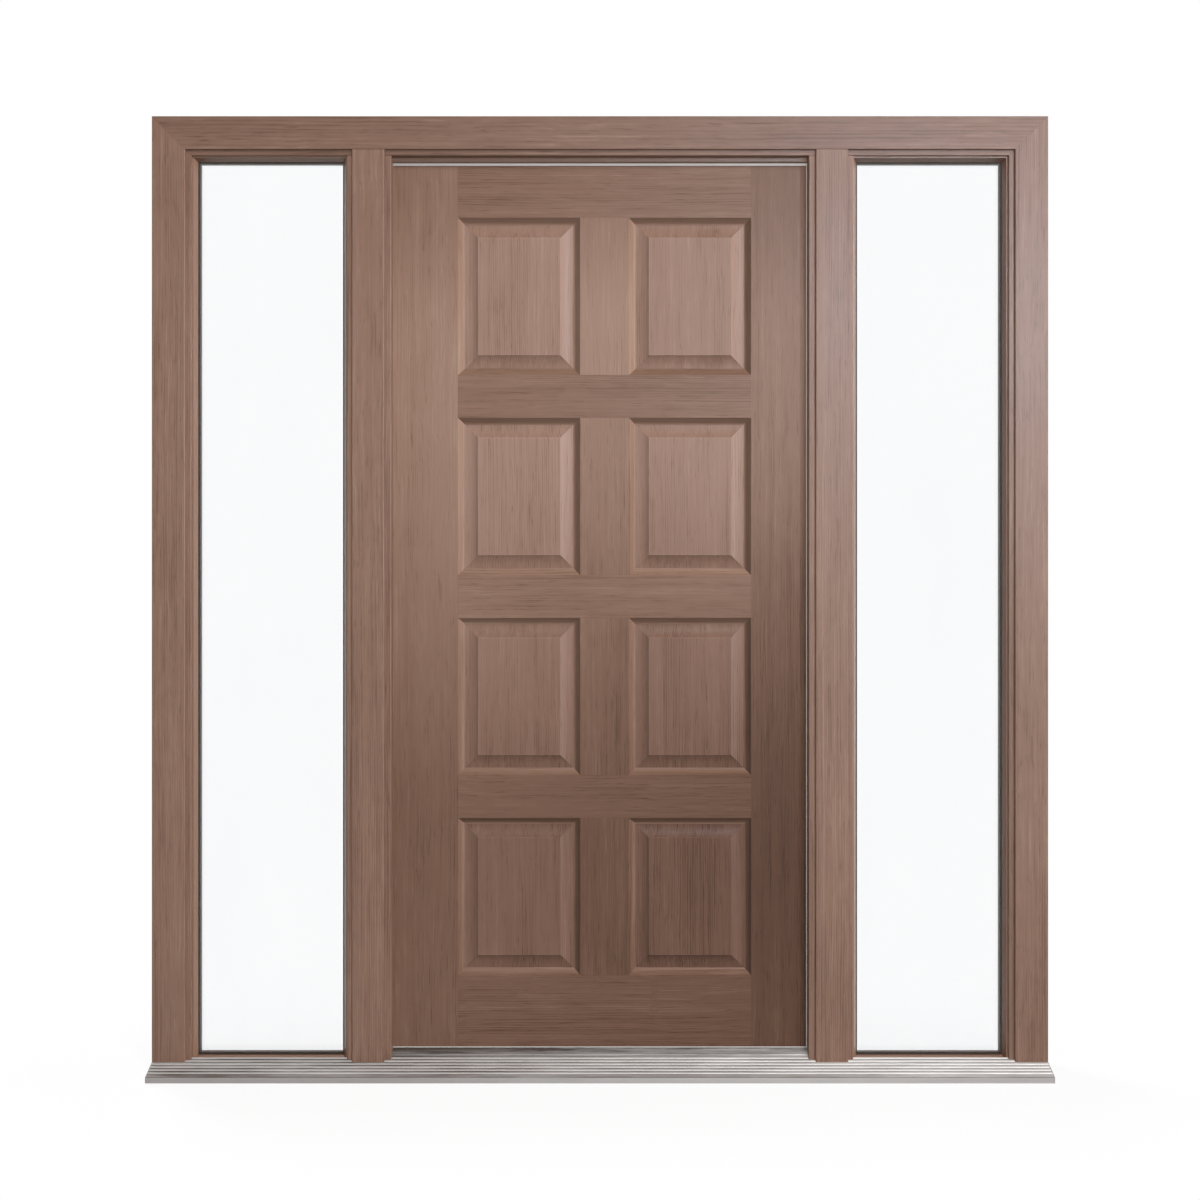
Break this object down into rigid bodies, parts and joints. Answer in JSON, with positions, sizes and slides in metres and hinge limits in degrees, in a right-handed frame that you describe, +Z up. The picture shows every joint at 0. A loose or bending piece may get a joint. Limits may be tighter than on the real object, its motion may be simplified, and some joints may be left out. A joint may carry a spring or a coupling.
{
  "type": "timber panel door in a frame with side lights",
  "caption": "Hardwood entrance doorset: a raised-and-fielded panel leaf swings inwards between glazed side lights, on a ribbed aluminium sill with a threshold.",
  "frame": {"origin": "on the sill's underside, midway along it, below the outside face of the frame", "axes": "+Z up, +Y indoors through the doorway, +X to the right as seen from outside"},
  "size_m": [1.95, 0.169, 2.085],
  "materials": {
    "frame_timber": "stained open-grained hardwood, low sheen",
    "leaf_timber": "stained open-grained hardwood, low sheen",
    "panel_timber": "stained open-grained hardwood, low sheen",
    "bead_timber": "stained hardwood moulding, low sheen",
    "glass": "clear float glass",
    "spacer_bar": "black warm-edge spacer",
    "aluminium": "mill-finish extrusion",
    "end_cap_plastic": "moulded grey plastic",
    "hinge_steel": "satin steel"
  },
  "bodies": {
    "frame": {"base_stop_left": "bead_timber", "base_stop_right": "bead_timber", "bead_left_bottom": "bead_timber", "bead_left_inner": "bead_timber", "bead_left_outer": "bead_timber", "bead_left_top": "bead_timber", "bead_right_bottom": "bead_timber", "bead_right_inner": "bead_timber", "bead_right_outer": "bead_timber", "bead_right_top": "bead_timber", "glass_left": "glass", "glass_right": "glass", "head": "frame_timber", "hinge_frame_flaps": "hinge_steel", "hinge_pins": "hinge_steel", "jamb_left": "frame_timber", "jamb_right": "frame_timber", "mullion_left": "frame_timber", "mullion_right": "frame_timber", "sill": "aluminium", "sill_end_caps": "end_cap_plastic", "spacer_left": "spacer_bar", "spacer_right": "spacer_bar", "threshold": "aluminium"},
    "leaf": {"bottom_rail": "leaf_timber", "hinge_door_flaps": "hinge_steel", "hinge_stile": "leaf_timber", "lock_stile": "leaf_timber", "mid_rail_1": "leaf_timber", "mid_rail_2": "leaf_timber", "mid_rail_3": "leaf_timber", "muntin_1": "leaf_timber", "muntin_2": "leaf_timber", "muntin_3": "leaf_timber", "muntin_4": "leaf_timber", "panel_1_left": "panel_timber", "panel_1_right": "panel_timber", "panel_2_left": "panel_timber", "panel_2_right": "panel_timber", "panel_3_left": "panel_timber", "panel_3_right": "panel_timber", "panel_4_left": "panel_timber", "panel_4_right": "panel_timber", "top_rail": "leaf_timber"}
  },
  "joints": [
    {"name": "door_swing", "type": "hinge", "parent": "frame", "child": "leaf", "pos_m": [-0.4655, 0.1025, 1], "axis": [0, 0, 1], "range_deg": [0, 110]}
  ]
}
